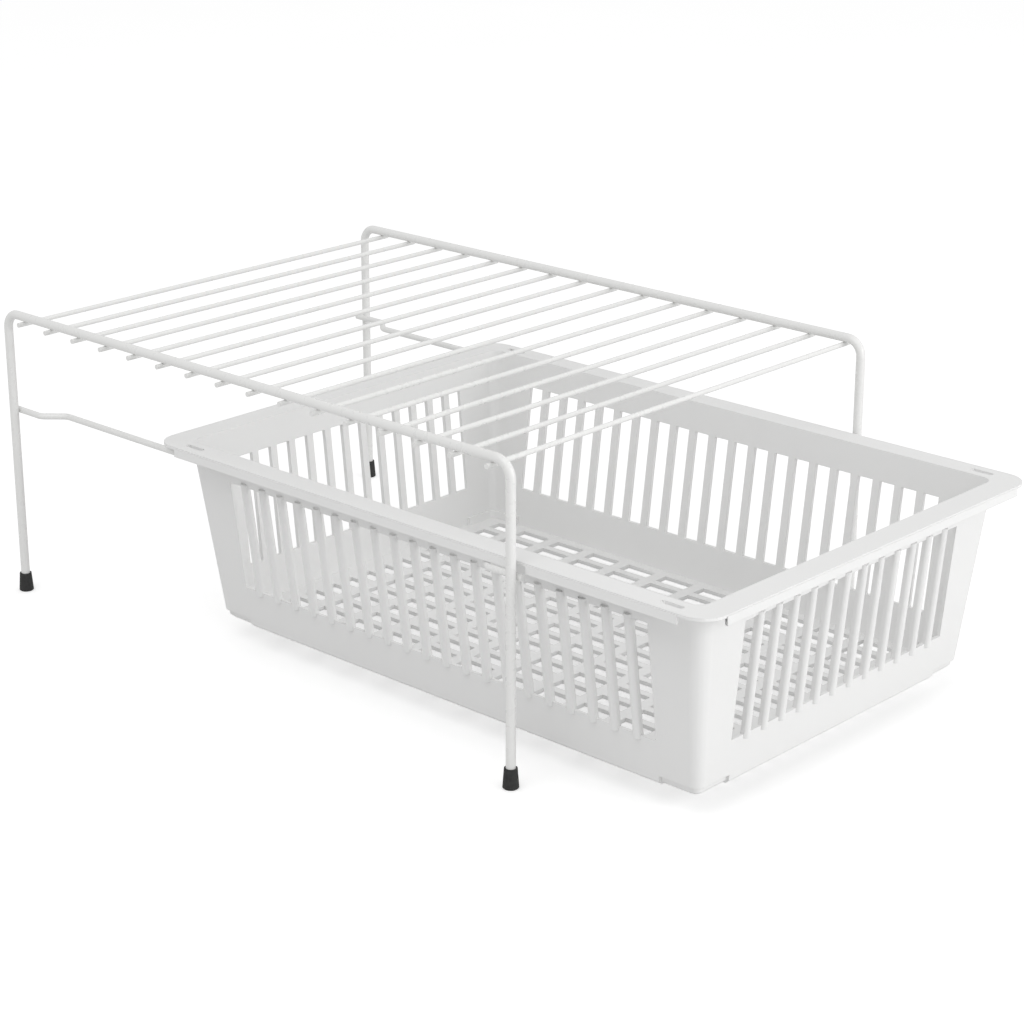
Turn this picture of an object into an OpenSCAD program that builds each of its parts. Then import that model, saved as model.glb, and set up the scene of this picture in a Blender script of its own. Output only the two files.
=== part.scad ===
// Under sink organizer: a wire rack on four rubber feet, and a slotted basket that slides out on two wire rails.
// All sizes are in millimetres. +Z is up and the front, where the basket comes out, faces -Y.
// The origin is on the ground, under the middle of the whole organizer with the basket at rest, partly out.

/* [Rack] */
// Width between the centrelines of the legs
rack_w = 311; // [296:1:326]
// Depth between the centrelines of the legs
rack_d = 431.6; // [425:0.2:455]
// Height from the ground to the top of the side frames
rack_h = 190; // [180:1:210]
// Diameter of the side frames' wire
frame_wire_d = 5.6; // [5:0.1:6.2]
// Bend radius at the side frames' corners, to the wire's centreline
frame_bend_r = 10; // [8:0.5:12]

/* [Cross wires] */
// Diameter of the cross wires of the top shelf
cross_wire_d = 3; // [2.4:0.1:4]
// Length of a cross wire's end outside the side frame
cross_wire_overhang = 2.5; // [1:0.1:4]
// Distance from the front legs' centreline to the front cross wire
cross_wire_front_inset = 12.6; // [12.6:0.1:20]
// Distance from the rear legs' centreline to the rear cross wire
cross_wire_rear_inset = 17.6; // [12.6:0.1:24]

/* [Rails] */
// Diameter of the rails' wire
rail_wire_d = 4; // [3.4:0.1:4.6]
// Height of the rails' centreline above the ground
rail_h = 122; // [121:0.5:130]
// Length of a rail's end outside the legs' centreline
rail_overhang = 4.2; // [3.2:0.1:6]
// Distance from the legs' centreline to the start of a rail's jog
rail_jog_inset = 21.3; // [18:0.1:26]
// Length of a rail's jog along the depth
rail_jog_l = 12.5; // [11:0.1:15]
// Distance that the jog brings a rail inwards
rail_jog_w = 11.2; // [10:0.1:12]
// Bend radius at the rails' jogs, to the wire's centreline
rail_bend_r = 6; // [4:0.5:8]

/* [Feet] */
// Height of a rubber foot
foot_h = 12; // [10:0.5:16]
// Diameter of a foot at the ground
foot_d = 9.3; // [8.8:0.1:11]
// Diameter of a foot at its top
foot_top_d = 7.6; // [7.4:0.1:8.6]
// Thickness of rubber under a leg
foot_floor_t = 2; // [1.5:0.1:3]

/* [Basket] */
// Distance that the basket is pulled out at rest
pull_out = 129.5; // [0:0.5:199.5]
// Depth of the basket's rim
basket_d = 428; // [410:1:440]
// Height of the basket from its underside to the top of its rim
basket_h = 115.7; // [108:0.1:118]
// Thickness of the basket's walls
wall_t = 2.2; // [1.8:0.1:2.4]
// Thickness of the basket's floor
floor_t = 2.5; // [2:0.1:3]
// Distance that a side wall leans inwards from its top to its foot
side_lean = 15.3; // [10:0.1:18]
// Distance that an end wall leans inwards from its top to its foot
end_lean = 11.3; // [8:0.1:14]
// Corner radius of the walls at their top
wall_top_r = 10; // [8:0.5:12]
// Corner radius of the walls at their foot
wall_foot_r = 6; // [5:0.5:7.5]
// Size of the rounding at the basket's bottom edge
foot_edge = 2; // [1:0.1:2.4]

/* [Rim] */
// Thickness of the flat rim
rim_t = 1.8; // [1.4:0.1:2.2]
// Corner radius of the rim
rim_r = 15; // [12:0.5:18]
// Distance from the rim's front or rear edge to the end wall
rim_end_w = 14; // [12:0.1:16]
// Height of the rim with its turned-down lips
lip_h = 6; // [5:0.1:7]
// Thickness of a lip
lip_t = 1.6; // [1.2:0.1:2]
// Distance that a lip stands out past the rim's edge
lip_step = 0.5; // [0.3:0.1:0.8]
// Distance from a rim's corner to the end of a side lip
side_lip_inset = 19.5; // [18:0.1:24]
// Distance from a rim's corner to the end of an end lip
end_lip_inset = 16; // [14:0.1:20]
// Length of the notch in each side lip
lip_notch_l = 14; // [8:0.5:20]
// Distance of the notch's middle from the basket's middle, towards the front
lip_notch_y = 84.5; // [60:0.5:110]
// Width of the slots in the rim
rim_slot_w = 3.5; // [2.5:0.1:4.5]
// Length of the slots in the rim
rim_slot_l = 15; // [10:0.5:20]
// Distance from the rim's front or rear edge to the middle of a rim slot
rim_slot_inset = 29; // [26:0.5:34]

/* [Slots and ribs] */
// Height from the basket's underside to the foot of the wall slots
slot_foot_z = 27.2; // [22:0.1:34]
// Height from the basket's underside to the top of the wall slots
slot_top_z = 97; // [80:0.1:98]
// Width of the slots in the side walls
side_slot_w = 10.5; // [8:0.1:11]
// Length of wall beside the outermost slots of a side wall
side_slot_margin = 26; // [22:0.5:34]
// Width of the slots in the end walls
end_slot_w = 10.4; // [8:0.1:11]
// Length of wall beside the outermost slots of an end wall
end_slot_margin = 24; // [20:0.5:32]
// Distance that a rib stands out from its wall
rib_proud = 2; // [1.4:0.1:2.2]
// Distance that a rib reaches past the slots at each end
rib_past_slots = 2.3; // [1:0.1:4]
// Width of the slots in the floor
floor_slot_w = 10; // [8:0.1:11]
// Width of the bars between the floor slots, along the depth
floor_bar_w = 8.2; // [6:0.1:10]
// Length of the short floor slots at the front and rear
floor_short_slot_l = 14.9; // [10:0.1:18]
// Distance from the floor's front or rear edge to the floor slots
floor_margin = 15; // [12:0.5:20]

/* [Corner steps] */
// Height of the step at each bottom corner of the basket
corner_step_h = 5.5; // [4:0.1:8]
// Depth of that step
corner_step_in = 1.8; // [1:0.1:2]
// Length of that step along each wall
corner_step_l = 26; // [20:0.5:30]

/* [Fits] */
// Free height between the rails and the basket's gussets and lips
slide_gap = 0.3; // [0.3:0.05:0.6]
// Free width between each side frame's wire and the basket's rim
leg_gap = 3.2; // [2:0.1:4]
// Free width between each rail and the basket's side wall
wall_gap = 0.8; // [0.4:0.1:1.2]

/* [Hidden] */
$fn = 48;
rib_fn = 24;
corner_steps = 6;
bend_steps = 4;
wire_fn = 16;
cut = 1;

cross_wire_count = 16;
side_slot_count = 21;
end_slot_count = 13;
floor_row_count = 15;
floor_slot_count = 10;
gusset_count = 10;
gusset_t = 2;

leg_x = rack_w / 2;
leg_y = rack_d / 2;
frame_bar_z = rack_h - frame_wire_d / 2;
cross_wire_z = frame_bar_z - frame_wire_d / 2 - cross_wire_d / 2;
cross_wire_l = rack_w + frame_wire_d + 2 * cross_wire_overhang;
cross_wire_front_y = -leg_y + cross_wire_front_inset;
cross_wire_rear_y = leg_y - cross_wire_rear_inset;
cross_wire_pitch = (cross_wire_rear_y - cross_wire_front_y) / (cross_wire_count - 1);

rail_end_x = leg_x - frame_wire_d / 2 - rail_wire_d / 2;
rail_run_x = rail_end_x - rail_jog_w;
rail_end_y = leg_y + rail_overhang;
rail_jog_start_y = leg_y - rail_jog_inset;
rail_jog_end_y = rail_jog_start_y - rail_jog_l;

foot_chamfer = 0.6;

basket_w = rack_w - frame_wire_d - 2 * leg_gap;
basket_z = rail_h + rail_wire_d / 2 + slide_gap + lip_h - basket_h;
wall_top_w = 2 * (rail_run_x - rail_wire_d / 2 - wall_gap);
wall_top_d = basket_d - 2 * rim_end_w;
wall_foot_w = wall_top_w - 2 * side_lean;
wall_foot_d = wall_top_d - 2 * end_lean;
rim_under_z = basket_h - rim_t;
lip_foot_z = basket_h - lip_h;

side_slot_pitch = (wall_foot_d - 2 * side_slot_margin - side_slot_w) / (side_slot_count - 1);
end_slot_pitch = (wall_foot_w - 2 * end_slot_margin - end_slot_w) / (end_slot_count - 1);
floor_slots_d = wall_foot_d - 2 * floor_margin;
floor_bars_d = (floor_slot_count + 1) * floor_bar_w;
floor_slot_l = (floor_slots_d - 2 * floor_short_slot_l - floor_bars_d) / floor_slot_count;
floor_slot_pitch = floor_slot_l + floor_bar_w;
floor_short_slot_y = (floor_slots_d - floor_short_slot_l) / 2;

side_rib_w = side_slot_pitch - side_slot_w;
end_rib_w = end_slot_pitch - end_slot_w;
rib_foot_z = slot_foot_z - rib_past_slots;
rib_top_z = slot_top_z + rib_past_slots;

rim_slot_x = (basket_w / 2 + wall_top_w / 2) / 2 - 1.6;
rim_slot_y = basket_d / 2 - rim_slot_inset;
gusset_span = 2 * (rim_slot_y - rim_slot_l);

rack_end_y = leg_y + max(rail_overhang, foot_d / 2);
front_y = min(-rack_end_y, -pull_out - basket_d / 2 - lip_step);
rear_y = max(rack_end_y, -pull_out + basket_d / 2 + lip_step);
rack_y = -(front_y + rear_y) / 2;

white_coating = [0.93, 0.93, 0.92];
white_plastic = [0.96, 0.96, 0.95];
black_rubber = [0.05, 0.05, 0.05];

// Upside-down U of thick wire: a leg at the front, the top bar and a leg at the rear
module side_frame(side) {
    bend_y = leg_y - frame_bend_r;
    bend_z = frame_bar_z - frame_bend_r;
    color(white_coating)
        translate([side * leg_x, rack_y, 0]) {
            translate([0, -bend_y, frame_bar_z])
                rotate([-90, 0, 0])
                    cylinder(d = frame_wire_d, h = 2 * bend_y);
            for (end = [0, 180])
                rotate([0, 0, end]) {
                    translate([0, leg_y, foot_floor_t])
                        cylinder(d = frame_wire_d, h = bend_z - foot_floor_t);
                    translate([0, bend_y, bend_z])
                        rotate([90, 0, 90])
                            rotate_extrude(angle = 90)
                                translate([frame_bend_r, 0])
                                    circle(d = frame_wire_d);
                }
        }
}

// Cross wire of the top shelf, number 1 at the front
module cross_wire(number) {
    y = rack_y + cross_wire_front_y + (number - 1) * cross_wire_pitch;
    color(white_coating)
        translate([-cross_wire_l / 2, y, cross_wire_z])
            rotate([0, 90, 0])
                cylinder(d = cross_wire_d, h = cross_wire_l);
}

// Rubber cap with a blind socket for the leg's end
module foot(side, end) {
    profile = [
        [0, 0],
        [foot_d / 2 - foot_chamfer, 0],
        [foot_d / 2, foot_chamfer],
        [foot_top_d / 2, foot_h],
        [frame_wire_d / 2, foot_h],
        [frame_wire_d / 2, foot_floor_t],
        [0, foot_floor_t]
    ];
    color(black_rubber)
        translate([side * leg_x, rack_y + end * leg_y, 0])
            rotate_extrude()
                polygon(profile);
}

// Flat long hole along Y with round ends
module long_hole(w, l) {
    square([w, l - w], center = true);
    for (side = [-1, 1])
        translate([0, side * (l - w) / 2])
            circle(d = w);
}

// Flat rectangle with rounded corners
module rounded_rectangle(w, d, r) {
    square([w - 2 * r, d], center = true);
    square([w, d - 2 * r], center = true);
    for (x = [-1, 1], y = [-1, 1])
        translate([x * (w / 2 - r), y * (d / 2 - r)])
            circle(r = r);
}

// Corner points of a level rounded rectangle, anticlockwise from the right
function ring(w, d, r, z) = [
    for (corner = [0 : 3], step = [0 : corner_steps])
        let (
            angle = 90 * (corner + step / corner_steps),
            x = (corner == 0 || corner == 3 ? 1 : -1) * (w / 2 - r),
            y = (corner < 2 ? 1 : -1) * (d / 2 - r)
        )
        [x + r * cos(angle), y + r * sin(angle), z]
];

// Closed solid through a stack of rings, the lowest first
module ring_solid(rings) {
    n = len(rings[0]);
    last = (len(rings) - 1) * n;
    sides = [
        for (level = [0 : len(rings) - 2], i = [0 : n - 1])
            let (a = level * n + i, b = level * n + (i + 1) % n)
            [a, a + n, b + n, b]
    ];
    foot = [for (i = [0 : n - 1]) i];
    top = [for (i = [0 : n - 1]) last + n - 1 - i];
    polyhedron(points = [for (level = rings) each level], faces = concat([foot], sides, [top]));
}

// Heading in degrees of the way from one point of a flat path to the next
function heading(a, b) = atan2(b.y - a.y, b.x - a.x);

// Ring of points around a wire's centreline, which goes through point at the heading way
function wire_ring(point, way, r) = [
    for (i = [0 : wire_fn - 1])
        let (angle = 360 * i / wire_fn)
        [point.x - r * cos(angle) * sin(way), point.y + r * cos(angle) * cos(way), r * sin(angle)]
];

// Rings of a wire's bend at point number i of its flat path
function bend_rings(path, i, bend_r, r) =
    let (
        first = heading(path[i - 1], path[i]),
        angle = heading(path[i], path[i + 1]) - first,
        side = sign(angle),
        take = bend_r * tan(abs(angle) / 2),
        start = path[i] - take * [cos(first), sin(first)],
        centre = start + side * bend_r * [-sin(first), cos(first)]
    )
    [
        for (step = [0 : bend_steps])
            let (way = first + angle * step / bend_steps)
            wire_ring(centre + side * bend_r * [sin(way), -cos(way)], way, r)
    ];

// Wire bent along a flat path in the XY plane, with flat ends
module bent_wire(path, bend_r, r) {
    last = len(path) - 1;
    bends = [for (i = [1 : last - 1]) each bend_rings(path, i, bend_r, r)];
    start = wire_ring(path[0], heading(path[0], path[1]), r);
    end = wire_ring(path[last], heading(path[last - 1], path[last]), r);
    ring_solid(concat([start], bends, [end]));
}

// Rail along one side, welded to the inner side of both legs
module rail(side) {
    path = [
        [side * rail_end_x, -rail_end_y],
        [side * rail_end_x, -rail_jog_start_y],
        [side * rail_run_x, -rail_jog_end_y],
        [side * rail_run_x, rail_jog_end_y],
        [side * rail_end_x, rail_jog_start_y],
        [side * rail_end_x, rail_end_y]
    ];
    color(white_coating)
        translate([0, rack_y, rail_h])
            bent_wire(path, rail_bend_r, rail_wire_d / 2);
}

// Ring of the basket's leaning walls at one height, smaller on every side by inset
function wall_ring(z, inset) =
    let (share = z / basket_h)
    ring(
        wall_foot_w + 2 * side_lean * share - 2 * inset,
        wall_foot_d + 2 * end_lean * share - 2 * inset,
        wall_foot_r + (wall_top_r - wall_foot_r) * share - min(inset, foot_edge),
        z
    );

// Outside of the basket's walls and floor as a full solid
module outer_form(inset) {
    ring_solid([
        wall_ring(0, inset + foot_edge),
        wall_ring(foot_edge, inset),
        wall_ring(basket_h, inset)
    ]);
}

// Room inside the basket as a full solid, open at the top
module inner_form(inset) {
    ring_solid([
        wall_ring(floor_t, inset + wall_t),
        wall_ring(basket_h + cut, inset + wall_t)
    ]);
}

// Blocks around the basket's four bottom corners, up to height h
module corner_blocks(h) {
    for (x = [-1, 1], y = [-1, 1])
        translate([x * wall_foot_w / 2, y * wall_foot_d / 2, h / 2])
            cube([2 * corner_step_l, 2 * corner_step_l, h + 2 * cut], center = true);
}

// Outer form with the steps at its bottom corners
module stepped_outer_form() {
    difference() {
        outer_form(0);
        difference() {
            corner_blocks(corner_step_h - cut);
            outer_form(corner_step_in);
        }
    }
}

// Inner form with the same steps, higher by the wall's thickness
module stepped_inner_form() {
    difference() {
        inner_form(0);
        difference() {
            corner_blocks(corner_step_h + wall_t - cut);
            inner_form(corner_step_in);
        }
    }
}

// Flat rim, full inside its outline
module rim_plate() {
    translate([0, 0, rim_under_z])
        linear_extrude(height = rim_t)
            rounded_rectangle(basket_w, basket_d, rim_r);
}

// Turned-down lips on the four sides, cut away at the corners
module lips() {
    side_lip_l = basket_d - 2 * side_lip_inset;
    end_lip_l = basket_w - 2 * end_lip_inset;
    lip_top_z = basket_h - rim_t / 2;
    for (side = [-1, 1]) {
        side_lip_x = side * (basket_w / 2 + lip_step - lip_t / 2);
        end_lip_y = side * (basket_d / 2 + lip_step - lip_t / 2);
        translate([side_lip_x, 0, (lip_foot_z + lip_top_z) / 2])
            cube([lip_t, side_lip_l, lip_top_z - lip_foot_z], center = true);
        translate([0, end_lip_y, (lip_foot_z + lip_top_z) / 2])
            cube([end_lip_l, lip_t, lip_top_z - lip_foot_z], center = true);
    }
}

// Thin gussets under the rim's sides, which carry the basket on the rails
module gussets() {
    gusset_in_x = wall_top_w / 2 - wall_t;
    gusset_l = basket_w / 2 - gusset_in_x;
    gusset_pitch = gusset_span / (gusset_count - 1);
    for (side = [-1, 1], i = [0 : gusset_count - 1])
        translate([side * (gusset_in_x + gusset_l / 2), gusset_pitch * i - gusset_span / 2, 0])
            translate([-gusset_l / 2, -gusset_t / 2, lip_foot_z])
                cube([gusset_l, gusset_t, lip_h - rim_t / 2]);
}

// Half-round rib on a wall that leans by lean, with its foot on the basket's underside plane at x = 0
module rib(rib_w, lean) {
    lean_angle = atan(lean / basket_h);
    rib_r = (rib_w * rib_w / 4 + rib_proud * rib_proud) / (2 * rib_proud);
    rotate([0, lean_angle, 0])
        translate([rib_proud - rib_r, 0, rib_foot_z / cos(lean_angle)])
            cylinder(r = rib_r, h = (rib_top_z - rib_foot_z) / cos(lean_angle), $fn = rib_fn);
}

// Ribs between the slots of all four walls
module ribs() {
    for (side = [0, 180], i = [1 : side_slot_count - 1])
        rotate([0, 0, side])
            translate([wall_foot_w / 2, (i - side_slot_count / 2) * side_slot_pitch, 0])
                rib(side_rib_w, side_lean);
    for (side = [90, 270], i = [1 : end_slot_count - 1])
        rotate([0, 0, side])
            translate([wall_foot_d / 2, (i - end_slot_count / 2) * end_slot_pitch, 0])
                rib(end_rib_w, end_lean);
}

// Slots through all four walls
module wall_slots() {
    slot_h = slot_top_z - slot_foot_z;
    slot_z = (slot_top_z + slot_foot_z) / 2;
    for (i = [0 : side_slot_count - 1])
        translate([0, (i - (side_slot_count - 1) / 2) * side_slot_pitch, slot_z])
            cube([basket_w, side_slot_w, slot_h], center = true);
    for (i = [0 : end_slot_count - 1])
        translate([(i - (end_slot_count - 1) / 2) * end_slot_pitch, 0, slot_z])
            cube([end_slot_w, basket_d, slot_h], center = true);
}

// Slots through the floor: long ones in the middle, short ones at the front and rear
module floor_slots() {
    slot_h = floor_t + 2 * cut;
    for (row = [0 : floor_row_count - 1]) {
        x = (row - (floor_row_count - 1) / 2) * end_slot_pitch;
        for (i = [0 : floor_slot_count - 1])
            translate([x, (i - (floor_slot_count - 1) / 2) * floor_slot_pitch, floor_t / 2])
                cube([floor_slot_w, floor_slot_l, slot_h], center = true);
        for (side = [-1, 1])
            translate([x, side * floor_short_slot_y, floor_t / 2])
                cube([floor_slot_w, floor_short_slot_l, slot_h], center = true);
    }
}

// Long hole with round ends near each corner of the rim
module rim_slots() {
    for (x = [-1, 1], y = [-1, 1])
        translate([x * rim_slot_x, y * rim_slot_y, rim_under_z - cut])
            linear_extrude(height = rim_t + 2 * cut)
                long_hole(rim_slot_w, rim_slot_l);
}

// Notch in each side lip
module lip_notches() {
    notch_h = rim_under_z - lip_foot_z;
    for (side = [-1, 1])
        translate([side * basket_w / 2, -lip_notch_y, lip_foot_z + notch_h / 2 - cut / 2])
            cube([2 * lip_t + 2 * lip_step, lip_notch_l, notch_h + cut], center = true);
}

// Moulded basket with slotted walls and floor, ribs, rim and lips
module basket() {
    color(white_plastic)
        translate([0, rack_y - pull_out, basket_z])
            difference() {
                union() {
                    stepped_outer_form();
                    rim_plate();
                    lips();
                    gussets();
                    ribs();
                }
                stepped_inner_form();
                wall_slots();
                floor_slots();
                rim_slots();
                lip_notches();
            }
}

side_frame(-1);  // side_frame_left
side_frame(1);  // side_frame_right
cross_wire(1);  // cross_wire_01
cross_wire(2);  // cross_wire_02
cross_wire(3);  // cross_wire_03
cross_wire(4);  // cross_wire_04
cross_wire(5);  // cross_wire_05
cross_wire(6);  // cross_wire_06
cross_wire(7);  // cross_wire_07
cross_wire(8);  // cross_wire_08
cross_wire(9);  // cross_wire_09
cross_wire(10);  // cross_wire_10
cross_wire(11);  // cross_wire_11
cross_wire(12);  // cross_wire_12
cross_wire(13);  // cross_wire_13
cross_wire(14);  // cross_wire_14
cross_wire(15);  // cross_wire_15
cross_wire(16);  // cross_wire_16
rail(-1);  // rail_left
rail(1);  // rail_right
foot(-1, -1);  // foot_front_left
foot(1, -1);  // foot_front_right
foot(-1, 1);  // foot_rear_left
foot(1, 1);  // foot_rear_right
basket();
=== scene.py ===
import math

import bpy
from mathutils import Matrix, Vector


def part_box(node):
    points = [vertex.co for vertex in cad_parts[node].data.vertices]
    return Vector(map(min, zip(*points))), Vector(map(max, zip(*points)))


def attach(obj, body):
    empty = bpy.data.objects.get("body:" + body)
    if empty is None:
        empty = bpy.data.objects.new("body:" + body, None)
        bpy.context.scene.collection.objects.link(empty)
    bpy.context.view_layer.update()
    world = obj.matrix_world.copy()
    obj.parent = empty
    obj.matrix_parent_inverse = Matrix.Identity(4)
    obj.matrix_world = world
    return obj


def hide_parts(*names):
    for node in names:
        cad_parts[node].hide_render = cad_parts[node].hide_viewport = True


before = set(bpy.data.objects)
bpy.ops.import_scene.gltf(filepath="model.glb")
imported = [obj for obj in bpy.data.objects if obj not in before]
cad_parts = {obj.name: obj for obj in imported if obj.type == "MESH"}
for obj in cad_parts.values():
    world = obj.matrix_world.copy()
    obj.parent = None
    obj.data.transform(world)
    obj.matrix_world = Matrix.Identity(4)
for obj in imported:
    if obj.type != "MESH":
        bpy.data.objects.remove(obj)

# Camera, as fitted to the photograph: angles round the object, distance and focal length
CAMERA_AZIMUTH = math.radians(-47.1)
CAMERA_ELEVATION = math.radians(19.8)
CAMERA_DISTANCE = 1.430
CAMERA_SENSOR = 36.0
CAMERA_LENS = 89.4
# The point that the camera looks at, from the middle of the rack's footprint
CAMERA_AIM = Vector((-0.0863, -0.1524, 0.1257))

# Square lamps: angles round the object in degrees, distance and edge length in metres, power in watts
LAMPS = {
    "key_lamp": {"azimuth": 12, "elevation": 16, "distance": 2.4, "size": 1.4, "power": 18},
    "top_lamp": {"azimuth": -75, "elevation": 60, "distance": 2.2, "size": 1.2, "power": 8},
}

# Even light from all round, and the strength at which the camera sees the backdrop
WHITE = (1, 1, 1, 1)
ROOM_LIGHT = 0.72
BACKDROP_LIGHT = 1.0

# Floor: edge length in metres, shades, and the glow that only the camera sees
FLOOR_SIZE = 40
FLOOR_SHADES = ((0.78, 0.78, 0.78), (0.80, 0.80, 0.80))
FLOOR_SHADE_SCALE = 3
FLOOR_ROUGHNESS = 1.0
FLOOR_SPECULAR = 0.0
FLOOR_GLOW = 0.40

# Rounding of the basket's moulded edges, in metres, and the angles that count as an edge or as flat
EDGE_ROUND = 0.0004
EDGE_SEGMENTS = 2
EDGE_ANGLE = math.radians(35)
WELD_DISTANCE = 0.00001
FLAT_ANGLE = math.radians(1)
LARGE_FACE_WEIGHT = 100

# Noise in every material, and the band that most of its values lie in
NOISE_DETAIL = 3.0
NOISE_ROUGHNESS = 0.5
NOISE_LOW = 0.3
NOISE_HIGH = 0.7
BUMP_STRENGTH = 1.0
SOFT_EDGE_SAMPLES = 6

# Wire coating. A scale is the noise's scale per metre, and a relief layer is its scale and depth in metres
WIRE_SHADES = ((0.80, 0.80, 0.79), (0.84, 0.84, 0.83))
WIRE_SHADE_SCALE = 60
WIRE_ROUGHNESS = (0.24, 0.36)
WIRE_ROUGHNESS_SCALE = 180
WIRE_IOR = 1.5
WIRE_COAT = 0.15
WIRE_COAT_ROUGHNESS = 0.12
WIRE_WAVES = (420, 0.00006)
WIRE_GRAIN = (1500, 0.00002)

# Basket plastic
BASKET_SHADES = ((0.82, 0.82, 0.815), (0.85, 0.85, 0.845))
BASKET_SHADE_SCALE = 14
BASKET_ROUGHNESS = (0.40, 0.52)
BASKET_ROUGHNESS_SCALE = 90
BASKET_IOR = 1.49
BASKET_SUBSURFACE = 0.08
BASKET_SUBSURFACE_RADIUS = (0.002, 0.002, 0.002)
BASKET_WAVES = (40, 0.0001)
BASKET_GRAIN = (2200, 0.000012)
BASKET_SOFT_EDGE = 0.0004

# Foot rubber
RUBBER_SHADES = ((0.012, 0.012, 0.012), (0.03, 0.03, 0.03))
RUBBER_SHADE_SCALE = 500
RUBBER_ROUGHNESS = (0.55, 0.75)
RUBBER_ROUGHNESS_SCALE = 700
RUBBER_SKIN = (1800, 0.00008)
RUBBER_SOFT_EDGE = 0.0003

WIRE_NODES = [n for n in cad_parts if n.startswith(("side_frame", "cross_wire", "rail"))]
FOOT_NODES = [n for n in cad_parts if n.startswith("foot")]


def new_material(name):
    """An empty node material with its output and one principled shader."""
    material = bpy.data.materials.new(name)
    material.use_nodes = True
    tree = material.node_tree
    tree.nodes.clear()
    output = tree.nodes.new("ShaderNodeOutputMaterial")
    shader = tree.nodes.new("ShaderNodeBsdfPrincipled")
    tree.links.new(shader.outputs["BSDF"], output.inputs["Surface"])
    return material, tree, shader


def noise(tree, scale):
    """Noise in the object's own coordinates, in metres."""
    place = tree.nodes.new("ShaderNodeTexCoord")
    texture = tree.nodes.new("ShaderNodeTexNoise")
    texture.inputs["Scale"].default_value = scale
    texture.inputs["Detail"].default_value = NOISE_DETAIL
    texture.inputs["Roughness"].default_value = NOISE_ROUGHNESS
    tree.links.new(place.outputs["Object"], texture.inputs["Vector"])
    return texture.outputs["Fac"]


def tint(tree, shader, scale, shades):
    """Base colour that wanders between two near shades."""
    dark, light = shades
    mix = tree.nodes.new("ShaderNodeMix")
    mix.data_type = "RGBA"
    mix.inputs["A"].default_value = (*dark, 1)
    mix.inputs["B"].default_value = (*light, 1)
    tree.links.new(noise(tree, scale), mix.inputs["Factor"])
    tree.links.new(mix.outputs["Result"], shader.inputs["Base Color"])


def polish(tree, shader, scale, roughness):
    """Roughness that wanders between a low and a high value."""
    low, high = roughness
    node = tree.nodes.new("ShaderNodeMapRange")
    node.inputs["From Min"].default_value = NOISE_LOW
    node.inputs["From Max"].default_value = NOISE_HIGH
    node.inputs["To Min"].default_value = low
    node.inputs["To Max"].default_value = high
    tree.links.new(noise(tree, scale), node.inputs["Value"])
    tree.links.new(node.outputs["Result"], shader.inputs["Roughness"])


def soft_edge(tree, radius):
    """Normal that is rounded off over edges."""
    bevel = tree.nodes.new("ShaderNodeBevel")
    bevel.samples = SOFT_EDGE_SAMPLES
    bevel.inputs["Radius"].default_value = radius
    return bevel.outputs["Normal"]


def relief(tree, shader, layers, normal=None):
    """Stacks relief layers on a normal, or on the surface's own, and gives the shader the result."""
    for scale, depth in layers:
        node = tree.nodes.new("ShaderNodeBump")
        node.inputs["Strength"].default_value = BUMP_STRENGTH
        node.inputs["Distance"].default_value = depth
        tree.links.new(noise(tree, scale), node.inputs["Height"])
        if normal:
            tree.links.new(normal, node.inputs["Normal"])
        normal = node.outputs["Normal"]
    tree.links.new(normal, shader.inputs["Normal"])


def wire_coating():
    """Thick white plastic coating on wire: glossy, with the slow waves of a dipped skin."""
    material, tree, shader = new_material("wire_coating")
    tint(tree, shader, WIRE_SHADE_SCALE, WIRE_SHADES)
    polish(tree, shader, WIRE_ROUGHNESS_SCALE, WIRE_ROUGHNESS)
    shader.inputs["IOR"].default_value = WIRE_IOR
    shader.inputs["Coat Weight"].default_value = WIRE_COAT
    shader.inputs["Coat Roughness"].default_value = WIRE_COAT_ROUGHNESS
    relief(tree, shader, [WIRE_WAVES, WIRE_GRAIN])
    return material


def basket_plastic():
    """White polypropylene moulding: satin, with flow waves and a fine grain."""
    material, tree, shader = new_material("basket_plastic")
    tint(tree, shader, BASKET_SHADE_SCALE, BASKET_SHADES)
    polish(tree, shader, BASKET_ROUGHNESS_SCALE, BASKET_ROUGHNESS)
    shader.inputs["IOR"].default_value = BASKET_IOR
    shader.inputs["Subsurface Weight"].default_value = BASKET_SUBSURFACE
    shader.inputs["Subsurface Radius"].default_value = BASKET_SUBSURFACE_RADIUS
    relief(tree, shader, [BASKET_WAVES, BASKET_GRAIN], soft_edge(tree, BASKET_SOFT_EDGE))
    return material


def foot_rubber():
    """Black moulded rubber: matt, with dust and a rough skin."""
    material, tree, shader = new_material("foot_rubber")
    tint(tree, shader, RUBBER_SHADE_SCALE, RUBBER_SHADES)
    polish(tree, shader, RUBBER_ROUGHNESS_SCALE, RUBBER_ROUGHNESS)
    relief(tree, shader, [RUBBER_SKIN], soft_edge(tree, RUBBER_SOFT_EDGE))
    return material


def dress(names, material):
    """Gives CAD nodes a material."""
    for name in names:
        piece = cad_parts[name]
        piece.data.materials.clear()
        piece.data.materials.append(material)


def moulded_basket():
    """The basket as a piece of its own, which stands for the CAD node and leaves that node's mesh alone."""
    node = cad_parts["basket"]
    piece = bpy.data.objects.new("basket_moulding", node.data.copy())
    bpy.context.scene.collection.objects.link(piece)
    piece.data.materials.clear()
    piece.data.materials.append(basket_plastic())
    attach(piece, "basket")
    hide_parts("basket")
    return piece


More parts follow.
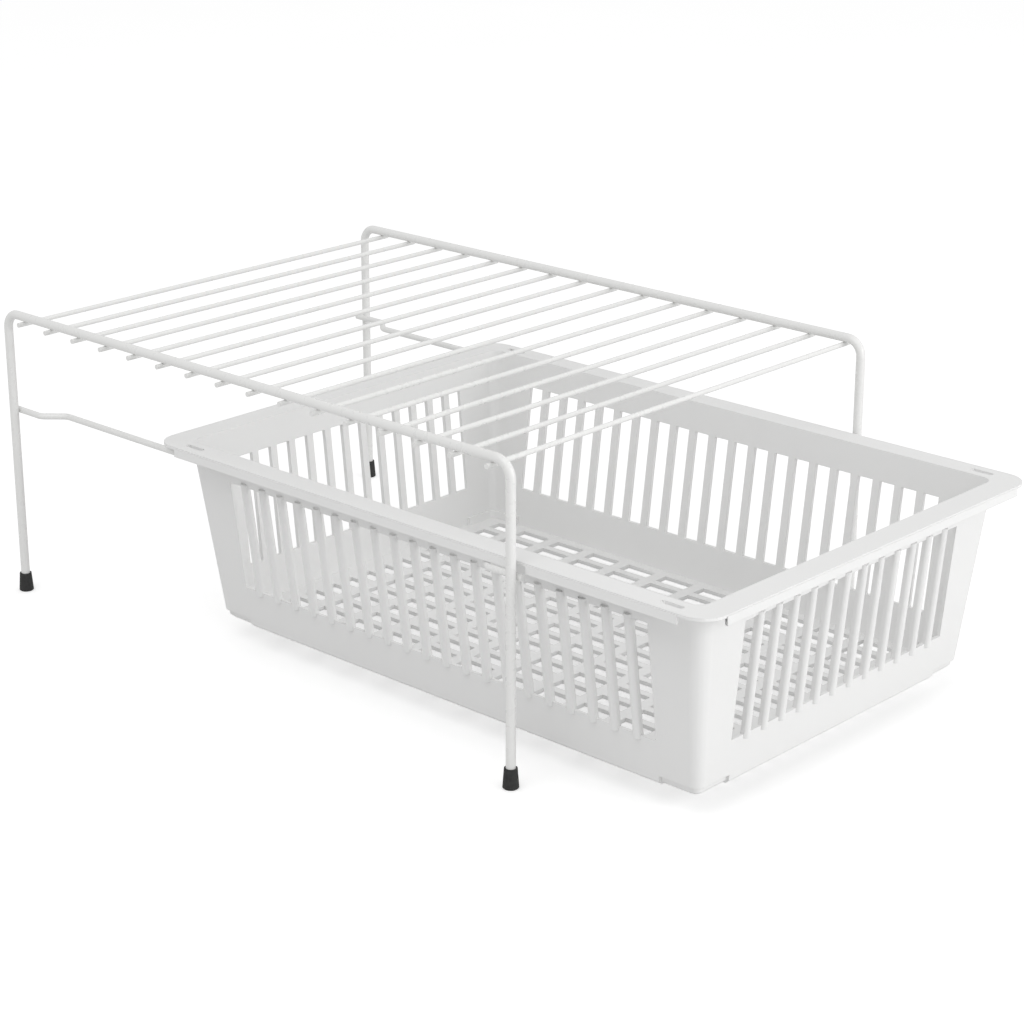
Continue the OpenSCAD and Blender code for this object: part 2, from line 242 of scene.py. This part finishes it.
def soften_edges(piece):
    """Joins a mesh's facets into whole faces and rounds its edges."""
    imported = piece.data.attributes.get("custom_normal")
    if imported:
        piece.data.attributes.remove(imported)
    piece.data.polygons.foreach_set("use_smooth", [True] * len(piece.data.polygons))
    joined = piece.modifiers.new("joined", "WELD")
    joined.merge_threshold = WELD_DISTANCE
    faces = piece.modifiers.new("whole_faces", "DECIMATE")
    faces.decimate_type = "DISSOLVE"
    faces.angle_limit = FLAT_ANGLE
    rounds = piece.modifiers.new("rounds", "BEVEL")
    rounds.width = EDGE_ROUND
    rounds.segments = EDGE_SEGMENTS
    rounds.limit_method = "ANGLE"
    rounds.angle_limit = EDGE_ANGLE
    normals = piece.modifiers.new("normals", "WEIGHTED_NORMAL")
    normals.weight = LARGE_FACE_WEIGHT


def direction(azimuth, elevation):
    """Unit vector from the object towards a place round it; azimuth 0 is in front."""
    return Vector((
        math.sin(azimuth) * math.cos(elevation),
        -math.cos(azimuth) * math.cos(elevation),
        math.sin(elevation),
    ))


def looking(place, aim):
    """Matrix of a camera or lamp at place that looks at aim."""
    turn = (aim - place).to_track_quat("-Z", "Y").to_matrix().to_4x4()
    return Matrix.Translation(place) @ turn


def rack_middle():
    """The middle of the rack's footprint on the ground."""
    low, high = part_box("side_frame_left")
    return Vector((0, (low.y + high.y) / 2, 0))


def add_camera(middle):
    """Camera at the photograph's angle."""
    data = bpy.data.cameras.new("camera")
    data.sensor_width = CAMERA_SENSOR
    data.lens = CAMERA_LENS
    camera = bpy.data.objects.new("camera", data)
    bpy.context.scene.collection.objects.link(camera)
    aim = middle + CAMERA_AIM
    place = aim + direction(CAMERA_AZIMUTH, CAMERA_ELEVATION) * CAMERA_DISTANCE
    camera.matrix_world = looking(place, aim)
    bpy.context.scene.camera = camera


def add_lamp(name, middle, azimuth, elevation, distance, size, power):
    """Square soft lamp that looks at the object."""
    data = bpy.data.lights.new(name, "AREA")
    data.shape = "SQUARE"
    data.size = size
    data.energy = power
    place = middle + direction(math.radians(azimuth), math.radians(elevation)) * distance
    lamp = bpy.data.objects.new(name, data)
    bpy.context.scene.collection.objects.link(lamp)
    lamp.matrix_world = looking(place, middle)


def add_floor():
    """Plain white floor that keeps the object's soft shadow."""
    half = FLOOR_SIZE / 2
    mesh = bpy.data.meshes.new("floor")
    corners = [(-half, -half, 0), (half, -half, 0), (half, half, 0), (-half, half, 0)]
    mesh.from_pydata(corners, [], [(0, 1, 2, 3)])
    floor = bpy.data.objects.new("floor", mesh)
    bpy.context.scene.collection.objects.link(floor)
    material, tree, shader = new_material("floor")
    tint(tree, shader, FLOOR_SHADE_SCALE, FLOOR_SHADES)
    shader.inputs["Roughness"].default_value = FLOOR_ROUGHNESS
    shader.inputs["Specular IOR Level"].default_value = FLOOR_SPECULAR
    shader.inputs["Emission Color"].default_value = WHITE
    path = tree.nodes.new("ShaderNodeLightPath")
    glow = tree.nodes.new("ShaderNodeMath")
    glow.operation = "MULTIPLY"
    glow.inputs[1].default_value = FLOOR_GLOW
    tree.links.new(path.outputs["Is Camera Ray"], glow.inputs[0])
    tree.links.new(glow.outputs["Value"], shader.inputs["Emission Strength"])
    mesh.materials.append(material)


def white_light(tree, strength):
    """Background shader that shines white."""
    light = tree.nodes.new("ShaderNodeBackground")
    light.inputs["Color"].default_value = WHITE
    light.inputs["Strength"].default_value = strength
    return light.outputs["Background"]


def add_room():
    """Even pale room light, with a white backdrop in the camera's view."""
    world = bpy.data.worlds.new("room")
    bpy.context.scene.world = world
    world.use_nodes = True
    tree = world.node_tree
    tree.nodes.clear()
    output = tree.nodes.new("ShaderNodeOutputWorld")
    mix = tree.nodes.new("ShaderNodeMixShader")
    path = tree.nodes.new("ShaderNodeLightPath")
    tree.links.new(path.outputs["Is Camera Ray"], mix.inputs["Fac"])
    tree.links.new(white_light(tree, ROOM_LIGHT), mix.inputs[1])
    tree.links.new(white_light(tree, BACKDROP_LIGHT), mix.inputs[2])
    tree.links.new(mix.outputs["Shader"], output.inputs["Surface"])


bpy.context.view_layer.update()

dress(WIRE_NODES, wire_coating())
dress(FOOT_NODES, foot_rubber())
soften_edges(moulded_basket())

middle = rack_middle()
add_camera(middle)
for lamp_name, lamp_values in LAMPS.items():
    add_lamp(lamp_name, middle, **lamp_values)
add_floor()
add_room()
bpy.context.scene.view_settings.view_transform = "Standard"
